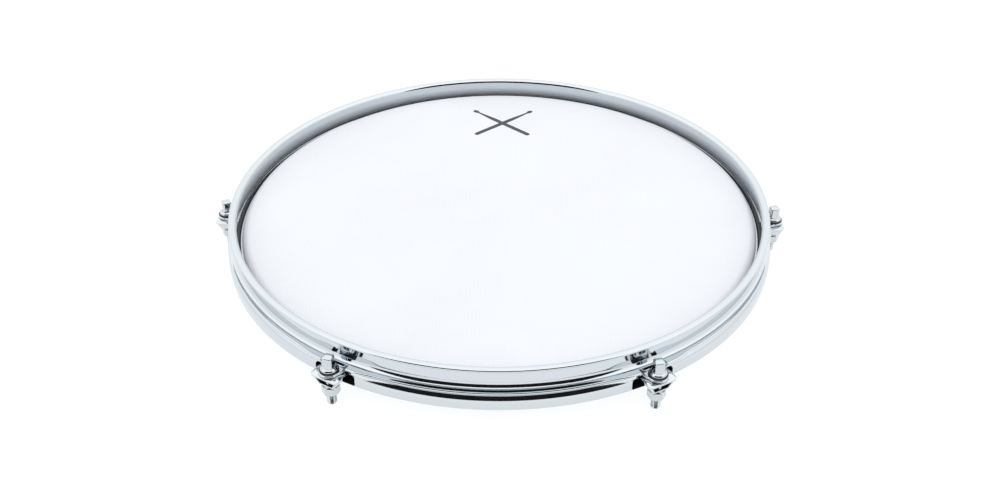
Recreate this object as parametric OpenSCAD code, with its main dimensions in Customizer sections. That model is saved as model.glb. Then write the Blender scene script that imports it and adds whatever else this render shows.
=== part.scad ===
// Low-profile practice pad for sticks: a mesh head on a round bearing edge, pulled tight by a
// flanged counterhoop and six tension rods. The rods hang from the ears of the counterhoop and
// screw into nuts under six lug brackets on the lower hoop.
// Millimetres. +Z is up, the playing side is up, -Y is the front. The origin is on the axis of
// the hoops, at the level of the rod ends, which the pad stands on.

/* [Playing head] */
// Diameter of the bearing edge under the mesh
bearing_d = 355; // [352:0.2:355.2]
// Radius of the rounded shoulder of the bearing edge
bearing_round = 5; // [4:0.5:6]
// Thickness of the mesh sheet
mesh_t = 0.8; // [0.6:0.1:0.9]
// Depth of the head below the rim of the counterhoop
head_drop = 10.4; // [9.5:0.1:10.8]

/* [Counterhoop] */
// Outside diameter of the rim
rim_d = 372; // [371.6:0.2:372.4]
// Height of the rim above the rod ends
rim_z = 42; // [41.9:0.05:42.1]
// Thickness of the rolled steel
hoop_t = 1.8; // [1.6:0.1:1.9]
// Height from the rim to the top of the shelf
wall_h = 15; // [14.8:0.1:15]
// Radius of the hollow between the wall and the shelf
shelf_fillet = 3.4; // [3:0.1:3.5]

/* [Ears] */
// Height from the rim to the top of an ear
ear_drop = 17; // [16.9:0.05:17.1]
// Width of an ear where it leaves the counterhoop
ear_root_w = 18.4; // [16:0.2:18.6]
// Radius of the round end of an ear
ear_tip_r = 6.2; // [6:0.1:6.6]

/* [Lower hoop] */
// Outside diameter of the skirt
skirt_d = 376.8; // [376.6:0.2:377.2]
// Height from the rim to the bottom of the skirt
skirt_drop = 28.5; // [28.2:0.1:28.8]
// Outside radius of the shoulder at the top of the skirt
shoulder_r = 5.6; // [5:0.1:5.8]
// Thickness of the pressed steel
skirt_t = 1.6; // [1.4:0.1:1.7]
// Width of the opening in the skirt at each lug
notch_w = 29; // [28:0.5:32]
// Height from the rim to the top of that opening
notch_drop = 19.8; // [19.4:0.1:20]

/* [Lug brackets] */
// Width of the plate of a bracket
plate_w = 19.4; // [18:0.2:19.4]
// Distance of its straight outer edge from the axis of the pad
plate_reach = 199.4; // [199:0.1:201]
// Thickness of the pressed steel of a bracket
bracket_t = 1; // [0.9:0.1:1.2]

/* [Tension rods] */
// Number of tension rods
rod_count = 6; // [4:1:8]
// Diameter of the circle that the rods stand on
rod_circle_d = 385.2; // [385:0.1:385.4]
// Diameter of the metric thread
rod_d = 6; // [5.8:0.1:6]
// Width of the square key head across its flats
key_w = 6.35; // [6:0.05:6.5]
// Height from the rim to the top of the key head
key_drop = 6.5; // [6:0.1:8]
// Diameter of the collar under the key head
collar_d = 10.9; // [10:0.1:11.4]

/* [Washers and nuts] */
// Outside diameter of a washer
washer_d = 12; // [11:0.1:12.2]
// Thickness of a washer
washer_t = 1; // [0.8:0.1:1.2]
// Width of a nut across its flats
nut_w = 10; // [9:0.5:10]
// Height of a nut
nut_h = 5.4; // [4.8:0.1:6]

/* [Hidden] */
$fn = 180;
eps = 0.01;
// Gap that keeps two pieces on different bodies apart
gap = 0.3;
// Running gap, on the radius, between a rod and the threads of its nut
thread_gap = 0.05;
turn = 360;
step = turn / rod_count;
// Directions of the lugs, so that the front of the pad lies midway between two of them
first_lug = -90 + step / 2;

// Counterhoop: heights and radii of its section
rim_r = rim_d / 2;
lip_w = 5.4;
hoop_in = rim_r - lip_w;
hoop_out = hoop_in + hoop_t;
lip_bend = 2.4;
shelf_z = rim_z - wall_h;
shelf_under = shelf_z - hoop_t;
shelf_edge = skirt_d / 2 - 1;
fillet_r = hoop_out + shelf_fillet;

// Ears
ear_z = rim_z - ear_drop;
ear_under = ear_z - hoop_t;
riser_out = rod_circle_d / 2 - washer_d / 2 - gap;
riser_in = riser_out - hoop_t;
rod_hole_r = rod_d / 2 + 0.2;

// Lower hoop
skirt_r = skirt_d / 2;
skirt_z = rim_z - skirt_drop;
shoulder_z = shelf_under - gap;
web_z = skirt_z + skirt_t;
web_in = 168;
foot_r = 2.6;
notch_in = skirt_r - shoulder_r - 1;
notch_top = rim_z - notch_drop;
ear_gate_w = ear_root_w + 4 * gap;

// Head and bearing ring
head_z = rim_z - head_drop;
mesh_under = head_z - mesh_t;
bearing_r = bearing_d / 2;
bearing_w = 7;
flat_r = bearing_r - bearing_round;
collar_end = web_z + 4;

// Flesh hoop: its outer top edge lies one gap under the bend of the counterhoop
flesh_in = bearing_r + mesh_t;
flesh_out = skirt_r - shoulder_r - gap;
bend_under = shelf_fillet + hoop_t + gap;
flesh_top = shelf_z + shelf_fillet - sqrt(pow(bend_under, 2) - pow(fillet_r - flesh_out, 2));
flesh_h = 7;
flesh_wall = 0.9;

// Lug brackets
rod_r = rod_circle_d / 2;
plate_top = ear_under - gap;
plate_z = plate_top - bracket_t;
plate_corner = 1.5;
bracket_base_w = 11;
bracket_foot_w = 10;
bracket_in = flesh_out + 0.4;
bracket_front = plate_reach - plate_corner;
bracket_lean = 1.2;
bracket_boss_r = 4.3;
bracket_boss_z = web_z - 1.1;
bracket_foot_in = flesh_in + 0.6;

// Rods, washers and nuts
washer_z = ear_z;
collar_z = washer_z + washer_t;
collar_h = 2;
key_z = rim_z - key_drop;
key_dome = 0.6;
rod_tip = 0.8;
nut_z = bracket_boss_z - nut_h;

// Screws that hold the bearing ring to the web
screw_r = 2;
screw_head_r = 3.6;
screw_head_h = 2;
screw_len = 9;
screw_circle_r = bearing_r - bearing_w / 2;
screw_count = 6;

function rod_names(base) = [for (i = [1:rod_count]) str(base, "_", i)];

// Places a child that is drawn on +X at rod number i
module at_rod(i) {
    rotate([0, 0, first_lug + (i - 1) * step]) children();
}

// Quarter of a round bar of radius r, cut to the quadrant that sx and sy point at
module quarter(r, sx, sy) {
    intersection() {
        circle(r);
        translate([sx < 0 ? -r : 0, sy < 0 ? -r : 0]) square(r);
    }
}

// Bend in a sheet: a quarter ring between radii r and r + t
module bend(r, t, sx, sy) {
    difference() {
        quarter(r + t, sx, sy);
        circle(r);
    }
}

// Block between two corners, with its upper outer corner rounded to radius r
module rounded_block(low, high, r) {
    difference() {
        translate(low) square(high - low);
        translate([high.x - r, high.y - r]) difference() {
            square(r + 1);
            circle(r);
        }
    }
}

// Section of the counterhoop: lip, wall, hollow and shelf
module counterhoop_section() {
    translate([hoop_in + lip_bend, rim_z - lip_bend]) bend(lip_bend - hoop_t, hoop_t, -1, 1);
    translate([hoop_in + lip_bend - eps, rim_z - hoop_t])
        square([lip_w - lip_bend - hoop_t / 2 + eps, hoop_t]);
    translate([rim_r - hoop_t / 2, rim_z - hoop_t / 2]) circle(hoop_t / 2);
    translate([hoop_in, shelf_z + shelf_fillet])
        square([hoop_t, rim_z - lip_bend - shelf_z - shelf_fillet]);
    translate([fillet_r, shelf_z + shelf_fillet]) bend(shelf_fillet, hoop_t, -1, -1);
    translate([fillet_r - eps, shelf_under]) square([shelf_edge - fillet_r - hoop_t / 2 + eps, hoop_t]);
    translate([shelf_edge - hoop_t / 2, shelf_under + hoop_t / 2]) circle(hoop_t / 2);
}

// Ear: a tongue that narrows to a round end under the washer, one step below the shelf, and
// the riser that joins it to the shelf
module ear() {
    translate([0, 0, ear_under]) linear_extrude(hoop_t) polygon([
        [riser_in, -ear_root_w / 2],
        [riser_out, -ear_root_w / 2],
        [rod_r, -ear_tip_r],
        [rod_r, ear_tip_r],
        [riser_out, ear_root_w / 2],
        [riser_in, ear_root_w / 2]
    ]);
    translate([rod_r, 0, ear_under]) cylinder(r = ear_tip_r, h = hoop_t, $fn = 48);
    intersection() {
        rotate([0, 0, -step / 4]) rotate_extrude(angle = step / 2)
            translate([riser_in, ear_under]) square([hoop_t, shelf_z - ear_under]);
        translate([riser_in - hoop_t, -ear_root_w / 2, ear_under])
            cube([rod_r - riser_in, ear_root_w, shelf_z - ear_under]);
    }
}

// Rolled counterhoop with its ears, and a scallop in the shelf that clears each washer
module counterhoop() {
    color("silver") difference() {
        union() {
            rotate_extrude() counterhoop_section();
            for (i = [1:rod_count]) at_rod(i) ear();
        }
        for (i = [1:rod_count]) at_rod(i) translate([rod_r, 0, 0]) {
            translate([0, 0, ear_under - eps])
                cylinder(r = rod_hole_r, h = hoop_t + 2 * eps, $fn = 48);
            translate([0, 0, ear_z])
                cylinder(r = washer_d / 2 + gap, h = shelf_z - ear_z + eps, $fn = 48);
        }
    }
}

// Section of the lower hoop: shoulder, skirt, foot and web
module lower_hoop_section() {
    translate([skirt_r - shoulder_r, shoulder_z - shoulder_r])
        bend(shoulder_r - skirt_t, skirt_t, 1, 1);
    translate([skirt_r - skirt_t, skirt_z + foot_r])
        square([skirt_t, shoulder_z - shoulder_r - skirt_z - foot_r]);
    translate([skirt_r - foot_r, skirt_z + foot_r]) bend(foot_r - skirt_t, skirt_t, 1, -1);
    translate([web_in, skirt_z]) square([skirt_r - foot_r - web_in, skirt_t]);
}

// What a lug takes out of the lower hoop: a wide window in the skirt, above the web, and over it
// a narrower gate through the shoulder for the ear
module lug_opening() {
    translate([notch_in, -notch_w / 2, web_z])
        cube([skirt_r - notch_in + 1, notch_w, notch_top - web_z]);
    translate([notch_in, -ear_gate_w / 2, web_z])
        cube([skirt_r - notch_in + 1, ear_gate_w, shoulder_z - web_z + 1]);
}

// Pressed lower hoop: open at each lug, with clearance holes for the ring screws in its web
module lower_hoop() {
    color("silver") difference() {
        rotate_extrude() lower_hoop_section();
        for (i = [1:rod_count]) at_rod(i) lug_opening();
        at_screws() translate([0, 0, skirt_z - eps])
            cylinder(r = screw_r + 0.2, h = skirt_t + 2 * eps, $fn = 32);
    }
}

// Places a child at each ring screw, midway between two lugs
module at_screws() {
    for (k = [1:screw_count]) rotate([0, 0, first_lug + (k - 0.5) * turn / screw_count])
        translate([screw_circle_r, 0, 0]) children();
}

// Moulded ring that carries the bearing edge
module bearing_ring() {
    color("dimgray") difference() {
        rotate_extrude() rounded_block(
            [bearing_r - bearing_w, web_z], [bearing_r, mesh_under], bearing_round
        );
        at_screws() translate([0, 0, web_z - 1])
            cylinder(r = screw_r, h = screw_len + 1, $fn = 32);
    }
}

// Flat part of the mesh, up to where it starts to turn over the bearing edge
module head_mesh() {
    color("white") translate([0, 0, mesh_under]) cylinder(r = flat_r, h = mesh_t);
}

// Formed edge of the mesh: over the bearing edge and down to the flesh hoop
module head_collar() {
    color("white") rotate_extrude() difference() {
        rounded_block(
            [flat_r, collar_end], [bearing_r + mesh_t, head_z], bearing_round + mesh_t
        );
        rounded_block([flat_r - 1, collar_end - 1], [bearing_r, mesh_under], bearing_round);
    }
}

// Channel that the edge of the mesh is potted in, with its resin
module flesh_hoop() {
    color("lightgray") rotate_extrude() difference() {
        translate([flesh_in, flesh_top - flesh_h]) square([flesh_out - flesh_in, flesh_h]);
        translate([flesh_in + flesh_wall, flesh_top - flesh_wall])
            square([flesh_out - flesh_in - 2 * flesh_wall, flesh_wall + eps]);
    }
}

// Pan-head screws that hold the bearing ring down on the web
module ring_screws() {
    color("dimgray") at_screws() {
        translate([0, 0, skirt_z - eps]) cylinder(r = screw_r - eps, h = screw_len - 1, $fn = 32);
        translate([0, 0, skirt_z - screw_head_h])
            cylinder(r1 = screw_head_r - 0.6, r2 = screw_head_r, h = screw_head_h, $fn = 32);
    }
}

// Tension rod: square key head with a slightly domed top, collar and threaded shank
module tension_rod(i) {
    color("silver") at_rod(i) translate([rod_r, 0, 0]) {
        translate([0, 0, rod_tip]) cylinder(r = rod_d / 2, h = collar_z - rod_tip + eps, $fn = 48);
        cylinder(r1 = rod_d / 2 - rod_tip, r2 = rod_d / 2, h = rod_tip + eps, $fn = 48);
        translate([0, 0, collar_z]) cylinder(r = collar_d / 2, h = collar_h, $fn = 48);
        translate([-key_w / 2, -key_w / 2, collar_z + collar_h - eps])
            cube([key_w, key_w, key_z - key_dome - collar_z - collar_h + eps]);
        translate([0, 0, key_z - key_dome - eps])
            cylinder(r1 = key_w / 2, r2 = key_w / 2 - 2 * key_dome, h = key_dome + eps, $fn = 48);
    }
}

// Washer between the collar of a rod and its ear
module washer(i) {
    color("gainsboro") at_rod(i) translate([rod_r, 0, washer_z]) difference() {
        cylinder(r = washer_d / 2, h = washer_t, $fn = 48);
        translate([0, 0, -eps]) cylinder(r = rod_hole_r, h = washer_t + 2 * eps, $fn = 48);
    }
}

// Outline of a bracket seen from outside, narrowing towards the nut; the inset is its inner face
module bracket_outline(inset) {
    side_h = plate_z - web_z;
    polygon([
        [-bracket_base_w / 2 + inset, inset],
        [bracket_base_w / 2 - inset, inset],
        [plate_w / 2 - inset, side_h + inset],
        [-plate_w / 2 + inset, side_h + inset]
    ]);
}

// Prism of that outline along the direction of the lug
module bracket_prism(inset) {
    translate([bracket_in, 0, web_z]) rotate([90, 0, 90])
        linear_extrude(bracket_front - bracket_in) bracket_outline(inset);
}

// Side view of the pocket of a bracket, whose front edge leans outwards
module bracket_side() {
    translate([0, plate_w, 0]) rotate([90, 0, 0]) linear_extrude(2 * plate_w) polygon([
        [bracket_in, web_z],
        [bracket_front - bracket_lean, web_z],
        [bracket_front, plate_z + eps],
        [bracket_in, plate_z + eps]
    ]);
}

// Plate that closes the top of a bracket, with its two front corners cut off
module bracket_plate() {
    translate([0, 0, plate_z]) linear_extrude(bracket_t) polygon([
        [bracket_in, -plate_w / 2],
        [plate_reach - plate_corner, -plate_w / 2],
        [plate_reach, -plate_w / 2 + plate_corner],
        [plate_reach, plate_w / 2 - plate_corner],
        [plate_reach - plate_corner, plate_w / 2],
        [bracket_in, plate_w / 2]
    ]);
}

// Pressed lug bracket: plate, tapering pocket open at the front, foot on the web, and boss
module lug_bracket(i) {
    color("silver") at_rod(i) difference() {
        union() {
            intersection() {
                difference() {
                    bracket_prism(0);
                    bracket_prism(bracket_t);
                }
                bracket_side();
            }
            bracket_plate();
            translate([bracket_foot_in, -bracket_foot_w / 2, web_z])
                cube([rod_r - bracket_foot_in, bracket_foot_w, bracket_t]);
            translate([rod_r, 0, bracket_boss_z])
                cylinder(r = bracket_boss_r, h = web_z - bracket_boss_z + eps, $fn = 48);
        }
        translate([rod_r, 0, bracket_boss_z - 1])
            cylinder(r = rod_hole_r, h = plate_top - bracket_boss_z + 2, $fn = 48);
    }
}

// Hexagon nut under a bracket
module nut(i) {
    nut_corner_r = nut_w / 2 / cos(30);
    color("silver") at_rod(i) translate([rod_r, 0, nut_z]) difference() {
        rotate([0, 0, 30]) cylinder(r = nut_corner_r, h = nut_h, $fn = 6);
        translate([0, 0, -eps])
            cylinder(r = rod_d / 2 + thread_gap, h = nut_h + 2 * eps, $fn = 48);
    }
}

counterhoop();
lower_hoop();
bearing_ring();
head_mesh();
head_collar();
flesh_hoop();
ring_screws();
for (i = [1:rod_count]) tension_rod(i);
for (i = [1:rod_count]) washer(i);
for (i = [1:rod_count]) lug_bracket(i);
for (i = [1:rod_count]) nut(i);
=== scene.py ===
"""Looks of the mesh-head practice pad: chromed hoops and lugs, tension rods and the woven head.
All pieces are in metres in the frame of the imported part. Lengths below are in millimetres."""
import math

import bmesh
import bpy
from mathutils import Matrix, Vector


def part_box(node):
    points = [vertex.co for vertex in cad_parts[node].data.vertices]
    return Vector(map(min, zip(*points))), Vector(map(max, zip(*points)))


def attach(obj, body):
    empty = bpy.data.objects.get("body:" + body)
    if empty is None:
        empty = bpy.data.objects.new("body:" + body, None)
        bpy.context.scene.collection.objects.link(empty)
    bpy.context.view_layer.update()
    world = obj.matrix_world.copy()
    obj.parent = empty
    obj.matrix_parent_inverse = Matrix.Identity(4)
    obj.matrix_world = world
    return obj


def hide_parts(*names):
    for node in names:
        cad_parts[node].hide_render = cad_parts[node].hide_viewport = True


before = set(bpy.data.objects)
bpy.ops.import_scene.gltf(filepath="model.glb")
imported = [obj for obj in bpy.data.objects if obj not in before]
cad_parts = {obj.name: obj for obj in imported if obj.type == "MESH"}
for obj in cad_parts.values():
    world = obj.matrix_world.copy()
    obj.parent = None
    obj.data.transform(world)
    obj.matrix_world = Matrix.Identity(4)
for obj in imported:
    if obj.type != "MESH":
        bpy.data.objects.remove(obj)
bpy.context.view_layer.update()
MM = 0.001


# ---------------------------------------------------------------- sizes taken from the part
def node_box(node):
    """Lowest and highest corner of a CAD node, in millimetres."""
    low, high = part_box(node)
    return Vector(low) / MM, Vector(high) / MM


LUGS = range(1, 7)
rod_box = {i: node_box(f"tension_rod_{i}") for i in LUGS}
rod_at = {i: (low + high) / 2 for i, (low, high) in rod_box.items()}
lug_angle = {i: math.atan2(rod_at[i].y, rod_at[i].x) for i in LUGS}
rod_r = rod_at[1].xy.length
rim_z = node_box("counterhoop")[1].z
skirt_r = node_box("lower_hoop")[1].y
skirt_z = node_box("lower_hoop")[0].z
web_in = 168.0
head_low, head_high = node_box("head_mesh")
head_z, mesh_t, flat_r = head_high.z, head_high.z - head_low.z, head_high.x
collar_low, collar_high = node_box("head_collar")
formed_r = collar_high.x
washer_top = node_box("washer_1")[1].z
ear_top = node_box("washer_1")[0].z
nut_low, nut_high = node_box("nut_1")
flesh_high = node_box("flesh_hoop")[1]

# counterhoop sheet, as rolled
HOOP_T = 1.8
LIP_W = 5.4
LIP_BEND = 2.4
hoop_in = 180.6
hoop_out = hoop_in + HOOP_T
SHELF_FILLET = 3.4
shelf_top = rim_z - 15.0
SHELF_EDGE = 187.4
EDGE_R = 0.45

# lower hoop sheet, as pressed
SKIRT_T = 1.6
SHOULDER = 5.6
FOOT = 2.6
shoulder_top = node_box("lower_hoop")[1].z
WINDOW = 14.5
GATE = 9.8
window_top = rim_z - 19.8


# ---------------------------------------------------------------- materials
def linear(code):
    """sRGB hex colour as linear RGBA."""
    parts = [int(code[k:k + 2], 16) / 255 for k in (1, 3, 5)]
    return tuple(c / 12.92 if c <= 0.04045 else ((c + 0.055) / 1.055) ** 2.4 for c in parts) + (1.0,)


def put(tree, kind, inputs=None, **settings):
    """Adds a node with its settings; an input is given a value, or linked if it is a socket."""
    node = tree.nodes.new(kind)
    for key, value in settings.items():
        setattr(node, key, value)
    for key, value in (inputs or {}).items():
        if isinstance(value, bpy.types.NodeSocket):
            tree.links.new(value, node.inputs[key])
        else:
            node.inputs[key].default_value = value
    return node


def blank(name):
    """An empty node material with its output."""
    mat = bpy.data.materials.new(name)
    mat.use_nodes = True
    mat.node_tree.nodes.clear()
    return mat, mat.node_tree, put(mat.node_tree, "ShaderNodeOutputMaterial")


def per_mm(spacing):
    """Noise scale, in object metres, whose grain is about one spacing in millimetres."""
    return 1 / (spacing * MM)


def plated(name, colour, smooth, dull, ripple, depth):
    """Bright plate over steel: mirror gloss, smears that dull it a little, and the slow ripple
    that rolling and buffing leave in the sheet."""
    mat, tree, out = blank(name)
    place = put(tree, "ShaderNodeTexCoord").outputs["Object"]
    smear = put(tree, "ShaderNodeTexNoise", {"Vector": place, "Scale": per_mm(14), "Detail": 4.0,
                                             "Roughness": 0.62})
    rough = put(tree, "ShaderNodeMapRange", {"Value": smear.outputs["Fac"], "From Min": 0.35,
                                             "From Max": 0.75, "To Min": smooth, "To Max": dull})
    wave = put(tree, "ShaderNodeTexNoise", {"Vector": place, "Scale": per_mm(ripple), "Detail": 1.0})
    bump = put(tree, "ShaderNodeBump", {"Height": wave.outputs["Fac"], "Strength": 1.0,
                                        "Distance": depth * MM})
    shader = put(tree, "ShaderNodeBsdfPrincipled", {
        "Base Color": linear(colour), "Metallic": 1.0, "Roughness": rough.outputs["Result"],
        "Normal": bump.outputs["Normal"]})
    tree.links.new(shader.outputs["BSDF"], out.inputs["Surface"])
    return mat


def mineral(name, dark, light, grain, rough, metal=0.0, depth=0.02, spread=(0.35, 0.65)):
    """Plain solid: two close tones mottled at the size of its grain, with that grain in relief."""
    mat, tree, out = blank(name)
    place = put(tree, "ShaderNodeTexCoord").outputs["Object"]
    grains = put(tree, "ShaderNodeTexNoise", {"Vector": place, "Scale": per_mm(grain), "Detail": 5.0})
    tone = put(tree, "ShaderNodeMapRange", {"Value": grains.outputs["Fac"], "From Min": spread[0],
                                            "From Max": spread[1]})
    colour = put(tree, "ShaderNodeMix", {0: tone.outputs["Result"], 6: linear(dark),
                                         7: linear(light)}, data_type="RGBA")
    mixed = colour.outputs[2]
    bump = put(tree, "ShaderNodeBump", {"Height": grains.outputs["Fac"], "Strength": 0.6,
                                        "Distance": depth * MM})
    shader = put(tree, "ShaderNodeBsdfPrincipled", {
        "Base Color": mixed, "Metallic": metal, "Roughness": rough,
        "Normal": bump.outputs["Normal"]})
    tree.links.new(shader.outputs["BSDF"], out.inputs["Surface"])
    return mat


def woven(name, weft, warp, thread, depth):
    """Plain weave of white polyester yarn: bands both ways in relief, and a faint cloudiness.
    The real threads are about 0.3 mm apart; they are drawn coarser, so that they can show."""
    mat, tree, out = blank(name)
    place = put(tree, "ShaderNodeTexCoord").outputs["Object"]
    bands = [put(tree, "ShaderNodeTexWave", {"Vector": place, "Scale": per_mm(thread) / 20 * 3.14159,
                                             "Distortion": 0.4, "Detail": 1.0}, bands_direction=way)
             for way in "XY"]
    weave = put(tree, "ShaderNodeMath", {0: bands[0].outputs["Fac"], 1: bands[1].outputs["Fac"]},
                operation="MULTIPLY")
    cloud = put(tree, "ShaderNodeTexNoise", {"Vector": place, "Scale": per_mm(60), "Detail": 3.0})
    both = put(tree, "ShaderNodeMath", {0: weave.outputs[0], 1: 0.35, 2: cloud.outputs["Fac"]},
               operation="MULTIPLY_ADD")
    colour = put(tree, "ShaderNodeMix", {0: both.outputs[0], 6: linear(weft), 7: linear(warp)},
                 data_type="RGBA")
    bump = put(tree, "ShaderNodeBump", {"Height": weave.outputs[0], "Strength": 0.5,
                                        "Distance": depth * MM})
    shader = put(tree, "ShaderNodeBsdfPrincipled", {
        "Base Color": colour.outputs[2], "Roughness": 0.82, "Sheen Weight": 0.15,
        "Sheen Roughness": 0.4, "Specular IOR Level": 0.3, "Normal": bump.outputs["Normal"]})
    tree.links.new(shader.outputs["BSDF"], out.inputs["Surface"])
    return mat


# rolled steel, buffed, nickel and chromium plated: a clear mirror with a slow ripple
hoop_chrome = plated("chrome_plate_on_rolled_hoop", "#CDD3D7", 0.045, 0.10, 26, 0.010)
# pressed steel under the same plate: a little less flat than the rolled hoop
bracket_chrome = plated("chrome_plate_on_pressed_bracket", "#CBD1D5", 0.05, 0.12, 9, 0.012)
# turned and threaded steel, barrel plated: bright, with softer edges
rod_chrome = plated("chrome_plate_on_turned_rod", "#C7CDD1", 0.06, 0.14, 5, 0.006)
# washers stamped from sheet: satin, with a faint haze where the collar has rubbed it; drawn nearly
# black as painted shadow, the dark crescent of shade under each collar
washer_nylon = mineral("stamped_washer_painted_shadow", "#111213", "#1C1D1F", 1.0, 0.42, depth=0.02)
# inside of the pressings: painted shade, steel drawn nearly black with a dull shine for the shade in
# the bracket pockets and behind the skirt
painted_shade_plate = mineral("painted_shade_inside_pressings", "#0E0F11", "#1D1F22", 3.0, 0.5, metal=0.3)
# aluminium channel of the head, rolled and left as it came from the mill: pale satin
channel = mineral("mill_finish_aluminium_channel", "#C6C8CB", "#D2D4D6", 1.2, 0.34, metal=1.0)
# epoxy that the mesh is potted in: cast, so nearly smooth; drawn dark as painted shade, deepening the
# shaded gap between head and hoop
resin = mineral("cast_epoxy_painted_shade", "#202225", "#2C2E31", 6.0, 0.35, depth=0.05)
# black ABS, moulded in a spark-eroded tool: a fine even grain
ring_abs = mineral("moulded_black_abs", "#0F1011", "#1A1B1D", 0.9, 0.55, depth=0.03)
# black zinc on pan-head screws: dark, with a dull metal shine
screw_zinc = mineral("black_zinc_on_screws", "#26282B", "#3A3D41", 1.5, 0.34, metal=0.9)
# woven polyester of the head
head_weave = woven("woven_polyester_mesh", "#D3D5DA", "#DCDEE3", 1.2, 0.05)
# screen printing ink on the head: thin, flat and matte
ink = mineral("dark_screen_printing_ink", "#34383E", "#3E4249", 1.0, 0.6)


# ---------------------------------------------------------------- mesh helpers
def smooth(value, start, end):
    """0 before start, 1 after end, with an easy turn between them."""
    k = min(max((value - start) / (end - start), 0.0), 1.0)
    return k * k * (3 - 2 * k)


def arc(cx, cz, r, start, end, steps):
    """Points of an arc in a section, in degrees."""
    return [(cx + r * math.cos(math.radians(start + (end - start) * k / steps)),
             cz + r * math.sin(math.radians(start + (end - start) * k / steps)))
            for k in range(steps + 1)]


def build(name, points, faces, materials, which=None, sharp=38):
    """Mesh object from points in millimetres, smooth but for edges over the sharp angle."""
    mesh = bpy.data.meshes.new(name)
    mesh.from_pydata([Vector(p) * MM for p in points], [], faces)
    for mat in materials:
        mesh.materials.append(mat)
    if which:
        for face, index in zip(mesh.polygons, which):
            face.material_index = index
    obj = bpy.data.objects.new(name, mesh)
    bpy.context.scene.collection.objects.link(obj)
    finish_surface(obj, sharp)
    return obj


def finish_surface(obj, sharp=38):
    """Welds, turns all faces outwards and shades them smooth up to the sharp angle."""
    work = bmesh.new()
    work.from_mesh(obj.data)
    bmesh.ops.remove_doubles(work, verts=work.verts, dist=1e-7)
    bmesh.ops.recalc_face_normals(work, faces=work.faces)
    work.to_mesh(obj.data)
    work.free()
    for face in obj.data.polygons:
        face.use_smooth = True
    obj.data.set_sharp_from_angle(angle=math.radians(sharp))


def apply_all(obj):
    """Turns the modifiers of an object into plain mesh."""
    bpy.context.view_layer.update()
    graph = bpy.context.evaluated_depsgraph_get()
    mesh = bpy.data.meshes.new_from_object(obj.evaluated_get(graph))
    obj.modifiers.clear()
    obj.data = mesh


def soften(obj, width, segments=2, limit=40, sharp=50):
    """Breaks the sharp edges of a piece with a small radius, as tumbling or pressing does."""
    mod = obj.modifiers.new("broken_edges", "BEVEL")
    mod.width = width * MM
    mod.segments = segments
    mod.limit_method = "ANGLE"
    mod.angle_limit = math.radians(limit)
    mod.harden_normals = False
    apply_all(obj)
    finish_surface(obj, sharp)


def cut(obj, cutter):
    """Cuts one solid out of another."""
    mod = obj.modifiers.new("cut", "BOOLEAN")
    mod.operation = "DIFFERENCE"
    mod.solver = "EXACT"
    mod.object = cutter
    apply_all(obj)
    bpy.data.objects.remove(cutter)


def lathe(name, section, centre, materials, columns=72, which=None, shape=None, sharp=38,
          start=0.0):
    """Closed section turned round a vertical axis. shape(r, z, angle) may change a radius."""
    count = len(section)
    points, faces, index = [], [], []
    for c in range(columns):
        angle = start + math.tau * c / columns
        for r, z in section:
            rr = shape(r, z, angle) if shape else r
            points.append((centre[0] + rr * math.cos(angle), centre[1] + rr * math.sin(angle), z))
    for c in range(columns):
        a, b = c * count, (c + 1) % columns * count
        for k in range(count):
            n = (k + 1) % count
            if section[k][0] == 0 and section[n][0] == 0:
                continue
            faces.append((a + k, b + k, b + n, a + n))
            index.append(which[k] if which else 0)
    return build(name, points, faces, materials, index, sharp)


def turned(i, x, y, z):
    """A place drawn for a lug on +X, moved to lug number i."""
    a = lug_angle[i]
    return (x * math.cos(a) - y * math.sin(a), x * math.sin(a) + y * math.cos(a), z)


def around():
    """Angles round the pad, each with its angle from the nearest lug, close together at lugs."""
    near = [0, 1.2, 2.4, 3.5, 4.4, 5.1, 5.6, 5.95, 6.2, 6.6, 7.2, 8, 8.6, 9.2, 9.8, 10.5, 11.5,
            13, 14.5, 16, 18, 20, 22, 24.5, 27, 30, 34, 39, 44, 50, 56, 62, 68, 74, 80, 86, 92]
    half = [math.asin(t / skirt_r) for t in near]
    offsets = sorted([-t for t in half[1:]] + half)
    return [(lug_angle[i] + t, t) for i in LUGS for t in offsets]


# ---------------------------------------------------------------- counterhoop with its ears
def shelf_reach(t):
    """Radius of the shelf's edge: it flares towards a lug and runs out into the ear."""
    across = abs(math.sin(t)) * skirt_r
    flare = SHELF_EDGE + 1.6 * smooth(-across, -30, -13)
    if across > 24:
        return flare
    tip, taper = 6.2, 2.1
    sine, cosine = abs(math.sin(t)), math.cos(t)
    side = (rod_r + taper * tip) / (cosine + taper * sine)
    inside = tip ** 2 - (rod_r * sine) ** 2
    round_end = rod_r * cosine + math.sqrt(inside) if inside > 0 else 0
    tongue = round_end if inside > 0 and round_end * sine < tip and round_end * cosine > rod_r \
        else side
    return max(tongue, flare) + 0.35 * math.exp(-abs(tongue - flare) / 0.8)


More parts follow.
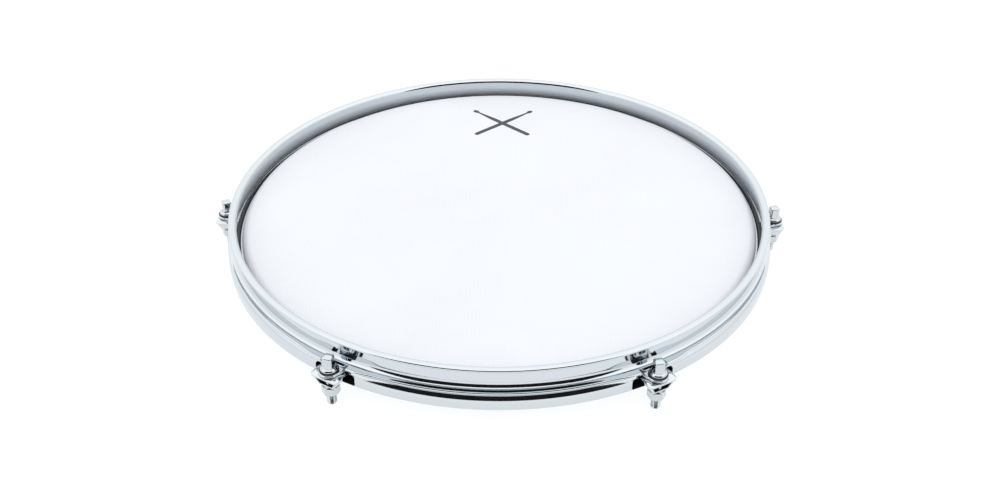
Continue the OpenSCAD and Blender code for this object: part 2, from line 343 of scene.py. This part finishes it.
def hoop_section(t):
    """Section of the counterhoop at an angle from the nearest lug, from the lip round and back."""
    across = abs(math.sin(t)) * skirt_r
    reach = shelf_reach(t) - EDGE_R
    drop = (shelf_top - ear_top) * (1 - smooth(across, 6.8, 9.4))
    inner = hoop_out + SHELF_FILLET
    start = reach - 0.2 if across > 14 else inner
    radii = [min(inner, start) + k * 0.1 for k in range(1, 3)]
    radii += [radii[-1] + (reach - radii[-1]) * k / 8 for k in range(1, 9)]

    def level(r):
        return shelf_top - drop * smooth(r, inner - 1.2, inner + 0.2)

    lip_r = rim_z - LIP_BEND
    bend_r = hoop_in + LIP_BEND
    end = rim_z - HOOP_T / 2
    tail = hoop_in + LIP_W - HOOP_T / 2
    edge_z = level(reach) - HOOP_T / 2
    points = arc(tail, end, HOOP_T / 2, 90, -90, 6)
    points += arc(bend_r, lip_r, LIP_BEND - HOOP_T, 90, 180, 4)
    points += [(hoop_out, rim_z - 6.5), (hoop_out, rim_z - 9.5)]
    points += arc(inner, shelf_top + SHELF_FILLET, SHELF_FILLET, 180, 270, 8)
    points += [(r, level(r)) for r in radii[:-1]]
    points += arc(reach, edge_z, HOOP_T / 2, 90, -90, 6)
    points += [(r, level(r) - HOOP_T) for r in reversed(radii[:-1])]
    points += arc(inner, shelf_top + SHELF_FILLET, SHELF_FILLET + HOOP_T, 270, 180, 8)
    points += [(hoop_in, rim_z - 9.5), (hoop_in, rim_z - 6.5)]
    points += arc(bend_r, lip_r, LIP_BEND, 180, 90, 6)
    points += [(bend_r + 1.0, rim_z)]
    return points


def hoop_shell():
    """The rolled counterhoop, one skin from the lip to the tips of its ears."""
    rows = [(angle, hoop_section(t)) for angle, t in around()]
    count = len(rows[0][1])
    points = [(r * math.cos(a), r * math.sin(a), z) for a, section in rows for r, z in section]
    faces = []
    for c in range(len(rows)):
        a, b = c * count, (c + 1) % len(rows) * count
        faces += [(a + k, b + k, b + (k + 1) % count, a + (k + 1) % count) for k in range(count)]
    shell = build("counterhoop_shell", points, faces, [hoop_chrome])
    for i in LUGS:
        cut(shell, lathe("bore", [(0, ear_top - 4), (3.2, ear_top - 4), (3.2, ear_top + 1),
                                  (0, ear_top + 1)], rod_at[i], [hoop_chrome], 40,
                         start=lug_angle[i] + 0.04))  # turned, to miss the columns of the hoop
    finish_surface(shell)
    return shell


# ---------------------------------------------------------------- lower hoop
def opening(i):
    """What a lug takes out of the skirt: a window with round corners, and the ear's gate over it."""
    web = skirt_z + SKIRT_T
    half = [(WINDOW - 1.4, web)] + arc(WINDOW - 1.4, web + 1.4, 1.4, -90, 0, 4)[1:]
    half += arc(WINDOW - 2.2, window_top - 2.2, 2.2, 0, 90, 5)
    half += [(GATE + 0.6, window_top), (GATE + 0.15, window_top + 0.2), (GATE, window_top + 0.7),
             (GATE, shoulder_top + 2)]
    outline = half + [(-y, z) for y, z in reversed(half)]
    n = len(outline)
    inner, outer = skirt_r - SHOULDER - 1, skirt_r + 2
    points = [turned(i, x, y, z) for x in (inner, outer) for y, z in outline]
    faces = [tuple(range(n)), tuple(range(2 * n - 1, n - 1, -1))]
    faces += [(k, (k + 1) % n, n + (k + 1) % n, n + k) for k in range(n)]
    return build(f"opening_{i}", points, faces, [hoop_chrome])


def skirt_shell():
    """The pressed lower hoop: shoulder, skirt and flat web, open at each lug, with painted shade
    inside.
    """
    top, wall, side = shoulder_top - SHOULDER, skirt_r - FOOT, skirt_r - SHOULDER
    section = arc(wall, skirt_z + FOOT, FOOT, 270, 360, 8)
    section += [(skirt_r, skirt_z + 4.2)] + arc(side, top, SHOULDER, 0, 90, 16)
    section += arc(side, top, SHOULDER - SKIRT_T, 90, 0, 10)
    section += arc(wall, skirt_z + FOOT, FOOT - SKIRT_T, 0, -90, 6)
    web = skirt_z + SKIRT_T
    section += [(176.5, web), (web_in + 0.3, web), (web_in, web - 0.3), (web_in, skirt_z + 0.3),
                (web_in + 0.3, skirt_z)]
    shell = lathe("lower_hoop_shell", section, (0, 0), [hoop_chrome, painted_shade_plate], 360)
    for i in LUGS:
        cut(shell, opening(i))
    soften(shell, 0.25, sharp=38)
    # faces on the web by the skirt and on the skirt's inner side get the painted shade
    for face in shell.data.polygons:
        p, n = face.center / MM, face.normal
        r = p.xy.length
        out = (n.x * p.x + n.y * p.y) / r
        shaded_web_top = r > 176.8 and p.z < web + 0.1 and n.z > 0.8
        shaded_skirt_inside = r > 180 and p.z > web and (out < -0.3 or n.z < -0.5)
        face.material_index = 1 if shaded_web_top or shaded_skirt_inside else 0
    return shell


# ---------------------------------------------------------------- head
def head_sheet():
    """The woven head: flat disc, turned over the bearing edge and down into its channel."""
    bend, foot = formed_r - flat_r, collar_low.z
    over, under = head_z - bend, bend - mesh_t
    section = [(0, head_z), (40, head_z), (85, head_z), (125, head_z), (155, head_z)]
    section += arc(flat_r, over, bend, 90, 0, 10) + [(formed_r, foot), (formed_r - mesh_t, foot)]
    section += arc(flat_r, over, under, 0, 90, 8)
    section += [(155, head_z - mesh_t), (85, head_z - mesh_t), (0, head_z - mesh_t)]
    return lathe("woven_head", section, (0, 0), [head_weave], 180)


def potting_ring():
    """Cast resin that fills the channel and holds the edge of the mesh, slightly dished, drawn dark
    as painted shade in the gap.
    """
    inner, outer, top = formed_r + 0.9, flesh_high.x - 0.9, flesh_high.z
    middle = (inner + outer) / 2
    section = [(inner, top - 0.9), (inner, top - 0.15), (inner + 0.8, top - 0.35),
               (middle, top - 0.42), (outer - 0.8, top - 0.35), (outer, top - 0.15),
               (outer, top - 0.9)]
    return lathe("potting_resin", section, (0, 0), [resin], 180)


def stick(length, turn, lift):
    """Outline of a drumstick lying on the head, as a printed shape: butt, shaft, taper, bead."""
    half = [(0.0, 0.0), (0.35, 1.3), (1.2, 1.9), (length * 0.62, 1.9), (length * 0.88, 0.85),
            (length * 0.905, 0.85), (length * 0.925, 1.5), (length * 0.955, 1.9),
            (length * 0.985, 1.4), (length, 0.0)]
    outline = half + [(x, -w) for x, w in reversed(half[1:-1])]
    c, s = math.cos(turn), math.sin(turn)
    flat = [((x - length * 0.47) * c - w * s, (x - length * 0.47) * s + w * c) for x, w in outline]
    n = len(flat)
    points = [(x, y, lift) for x, y in flat] + [(x, y, lift + 0.03) for x, y in flat]
    faces = [tuple(range(n)), tuple(range(n, 2 * n))]
    faces += [(k, (k + 1) % n, n + (k + 1) % n, n + k) for k in range(n)]
    return points, faces


def printed_mark(x, y):
    """Two crossed drumsticks, printed near the far edge of the head."""
    points, faces = [], []
    for turn, lift in ((math.radians(42), 0.02), (math.radians(138), 0.06)):
        more, sides = stick(60, turn, head_z + lift)
        base = len(points)
        points += [(px + x, py + y, pz) for px, py, pz in more]
        faces += [tuple(base + k for k in face) for face in sides]
    return build("printed_mark", points, faces, [ink], sharp=20)


# ---------------------------------------------------------------- lugs
def copied(node, name, materials):
    """A new piece with the shape of a CAD node, its flat faces whole again."""
    obj = bpy.data.objects.new(name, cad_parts[node].data.copy())
    bpy.context.scene.collection.objects.link(obj)
    obj.data.materials.clear()
    for mat in materials:
        obj.data.materials.append(mat)
    work = bmesh.new()
    work.from_mesh(obj.data)
    bmesh.ops.remove_doubles(work, verts=work.verts, dist=1e-6)
    bmesh.ops.dissolve_limit(work, angle_limit=math.radians(0.5), verts=work.verts,
                             edges=work.edges)
    for face in work.faces:
        face.material_index = 0
    work.to_mesh(obj.data)
    work.free()
    return obj


def bracket(i):
    """Pressed bracket with rounded edges, its pocket drawn dark as painted shade."""
    obj = copied(f"lug_bracket_{i}", f"pressed_bracket_{i}", [bracket_chrome, painted_shade_plate])
    soften(obj, 0.22)
    c, s = math.cos(lug_angle[i]), math.sin(lug_angle[i])
    floor, roof = skirt_z + SKIRT_T + 0.9, ear_top - HOOP_T - 0.3 - 1.0
    # faces inside the pocket that face into it get the painted shade
    for face in obj.data.polygons:
        p, n = face.center / MM, face.normal
        across = -p.x * s + p.y * c
        facing = -n.x * s + n.y * c
        inside = floor < p.z < roof + 0.1 and abs(across) < 9.0
        inward = facing * across < -0.3 * abs(across) or abs(n.z) > 0.9
        face.material_index = 1 if inside and inward else 0
    return obj


def merged(name, parts):
    """Several closed shells of one material as one object."""
    work = bmesh.new()
    for part in parts:
        work.from_mesh(part.data)
    obj = parts[0]
    work.to_mesh(obj.data)
    work.free()
    for part in parts[1:]:
        bpy.data.objects.remove(part)
    obj.name = name
    return obj


# directions that the square heads were left turned to, in degrees
HEAD_TURN = {1: -74, 2: 12, 3: 38, 4: 61, 5: 25, 6: -106}
PITCH = 1.0


def rod(i):
    """Tension rod: rolled M6 thread, turned collar, and a forged square head with worn corners."""
    low, high = rod_box[i]
    centre = rod_at[i]
    collar_z, key_half = washer_top, 3.175
    start = math.radians(HEAD_TURN[i])

    def thread(r, z, angle):
        if r < 2.4:
            return r
        phase = (z / PITCH - angle / math.tau) % 1
        ridge = min(max(1.3 * (1 - abs(2 * phase - 1)) - 0.12, 0), 1)
        ridge *= smooth(collar_z - z, 0.3, 1.4)
        return min(2.45 + 0.52 * ridge, 2.1 + 0.95 * (z - low.z))

    rows = int((collar_z - low.z) / PITCH * 7)
    step = (collar_z + 0.4 - low.z) / rows
    shank = [(0, low.z), (2.1, low.z)] + [(3.0, low.z + step * k) for k in range(1, rows + 1)]
    shank.append((0, collar_z + 0.4))
    section = [(0, collar_z + 0.05), (4.9, collar_z + 0.05)]
    section += arc(5.0, collar_z + 0.45, 0.4, -90, 20, 5)
    section += [(5.25, collar_z + 0.95), (5.0, collar_z + 1.28), (4.65, collar_z + 1.55),
                (4.25, collar_z + 1.76), (3.8, collar_z + 1.91), (3.3, collar_z + 1.99),
                (0, collar_z + 2.0)]

    def square(r, z, angle):
        a = angle - start
        return r / (abs(math.cos(a)) ** 5 + abs(math.sin(a)) ** 5) ** (1 / 5)

    key = [(0, collar_z + 1.6), (key_half + 0.25, collar_z + 1.6)]
    key += [(key_half + 0.25, collar_z + 2.0), (key_half + 0.05, collar_z + 2.3)]
    key += [(key_half, collar_z + 3.0), (key_half - 0.04, high.z - 1.2)]
    key += arc(key_half - 0.74, high.z - 0.95, 0.7, 0, 70, 5)
    key += [(key_half - 1.5, high.z - 0.1), (1.0, high.z), (0, high.z)]
    return merged(f"threaded_rod_{i}", [
        lathe(f"shank_{i}", shank, centre, [rod_chrome], 40, shape=thread, sharp=75),
        lathe(f"collar_{i}", section, centre, [rod_chrome], 56),
        lathe(f"key_{i}", key, centre, [rod_chrome], 72, shape=square, sharp=60)])


def nut(i):
    """Hexagon nut with chamfered corners on both faces."""
    centre = rod_at[i]
    flat = 5.0
    low, high = nut_low.z, nut_high.z
    levels = [0, 0.12, 0.3, 0.5, 0.75, 1.0]
    heights = [low + d for d in levels] + [high - d for d in reversed(levels)]

    def hexagon(r, z, angle):
        if r < 4:
            return r
        side = flat / math.cos((angle - lug_angle[i]) % (math.pi / 3) - math.pi / 6)
        return min(side, 5.0 - 0.12 + 1.35 * min(z - low, high - z) + 0.05)

    bore = [(3.45, high), (3.05, high - 0.4), (3.05, low + 0.4), (3.45, low)]
    section = [(9.0, z) for z in heights] + bore
    return lathe(f"hexagon_nut_{i}", section, centre, [rod_chrome], 72, shape=hexagon, sharp=28)


def washer(i):
    """Washer, its stamped edges rolled over, drawn nearly black as painted shadow under the collar.
    """
    obj = copied(f"washer_{i}", f"shadow_dark_washer_{i}", [washer_nylon])
    soften(obj, 0.2)
    return obj


# ---------------------------------------------------------------- all pieces on their bodies
hoop = hoop_shell()
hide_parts("counterhoop")
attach(hoop, "hoop")

lower = skirt_shell()
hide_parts("lower_hoop")
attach(lower, "base")

mark = printed_mark(0, 126)
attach(mark, "base")

head = head_sheet()
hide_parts("head_mesh", "head_collar")
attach(head, "base")

potting = potting_ring()
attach(potting, "base")

for i in LUGS:
    for piece, node, body, slot in (
            (bracket(i), f"lug_bracket_{i}", "base", "bracket_chrome"),
            (nut(i), f"nut_{i}", "base", "nut_chrome"),
            (washer(i), f"washer_{i}", "hoop", "washer_nylon"),
            (rod(i), f"tension_rod_{i}", f"rod_{i}", "rod_chrome")):
        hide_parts(node)
        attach(piece, body)

for node, mat in (("bearing_ring", ring_abs), ("flesh_hoop", channel), ("ring_screws", screw_zinc)):
    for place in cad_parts[node].material_slots:
        place.material = mat


# ---------------------------------------------------------------- studio
def studio_floor(radius):
    """A plain pale floor, a sheet of opal acrylic lit softly from below and clear from under."""
    mat, tree, out = blank("pale_studio_floor")
    place = put(tree, "ShaderNodeTexCoord").outputs["Object"]
    grain = put(tree, "ShaderNodeTexNoise", {"Vector": place, "Scale": per_mm(90), "Detail": 3.0})
    colour = put(tree, "ShaderNodeMix", {0: grain.outputs["Fac"], 6: linear("#8D8E90"),
                                         7: linear("#919293")}, data_type="RGBA")
    shader = put(tree, "ShaderNodeBsdfPrincipled", {
        "Base Color": colour.outputs[2], "Roughness": 0.9, "Specular IOR Level": 0.0,
        "Emission Color": (1.0, 1.0, 1.0, 1.0), "Emission Strength": 0.80})
    under = put(tree, "ShaderNodeNewGeometry").outputs["Backfacing"]
    clear = put(tree, "ShaderNodeBsdfTransparent")
    sheet = put(tree, "ShaderNodeMixShader", {0: under, 1: shader.outputs["BSDF"],
                                              2: clear.outputs["BSDF"]})
    tree.links.new(sheet.outputs["Shader"], out.inputs["Surface"])
    ring = [(radius * math.cos(math.tau * k / 64), radius * math.sin(math.tau * k / 64), 0)
            for k in range(64)]
    return build("studio_floor", ring, [tuple(range(64))], [mat])


def dark_flag(name, middle, half, low, high, distance):
    """A black flag on stands, curved round the pad, that only polished pieces mirror. Angles in
    degrees: where its middle stands, how far it reaches to each side, its lower and upper edge."""
    mat, tree, out = blank(name + "_black_cloth")
    shader = put(tree, "ShaderNodeBsdfDiffuse", {"Color": linear("#161719")})
    tree.links.new(shader.outputs["BSDF"], out.inputs["Surface"])
    cols, rows = 24, 12
    points = []
    for r in range(rows + 1):
        up = math.radians(low + (high - low) * r / rows)
        for c in range(cols + 1):
            a = math.radians(middle - half + 2 * half * c / cols)
            points.append((distance * math.cos(up) * math.cos(a),
                           distance * math.cos(up) * math.sin(a), distance * math.sin(up)))
    w = cols + 1
    faces = [(r * w + c, r * w + c + 1, (r + 1) * w + c + 1, (r + 1) * w + c)
             for r in range(rows) for c in range(cols)]
    flag = build(name, points, faces, [mat])
    flag.visible_camera = False
    flag.visible_diffuse = False
    flag.visible_shadow = False
    flag.visible_transmission = False
    return flag


studio_floor(9000)
dark_flag("front_flag", -90, 46, 3, 62, 3000)

# a white tent round the set: brighter overhead than at the horizon
world = bpy.data.worlds.new("white_studio_tent")
world.use_nodes = True
tent = world.node_tree
tent.nodes.clear()
aim = put(tent, "ShaderNodeTexCoord").outputs["Generated"]
height = put(tent, "ShaderNodeSeparateXYZ", {"Vector": aim}).outputs["Z"]
level = put(tent, "ShaderNodeMapRange", {"Value": height, "From Min": 0.0, "From Max": 0.8,
                                         "To Min": 1.0, "To Max": 1.45})
glow = put(tent, "ShaderNodeBackground", {"Color": (1.0, 1.0, 1.0, 1.0),
                                          "Strength": level.outputs["Result"]})
tent.links.new(glow.outputs["Background"], put(tent, "ShaderNodeOutputWorld").inputs["Surface"])
bpy.context.scene.world = world

# camera at eye height for a player beside the pad
lens = bpy.data.cameras.new("studio_camera")
lens.lens, lens.sensor_width = 42.0, 36.0
lens.shift_x, lens.shift_y = 0.0008, -0.0538
lens.dof.use_dof = False
camera = bpy.data.objects.new("studio_camera", lens)
bpy.context.scene.collection.objects.link(camera)
reach, pitch, swing = 815.0, math.radians(32.04), math.radians(1.2)
target = Vector((0, 0, rim_z))
spot = target + reach * Vector((math.cos(pitch) * math.sin(swing),
                                -math.cos(pitch) * math.cos(swing), math.sin(pitch)))
camera.location = spot * MM
camera.rotation_euler = (target - spot).to_track_quat("-Z", "Y").to_euler()
bpy.context.scene.camera = camera
bpy.context.scene.view_settings.view_transform = "Standard"
bpy.context.scene.view_settings.look = "None"
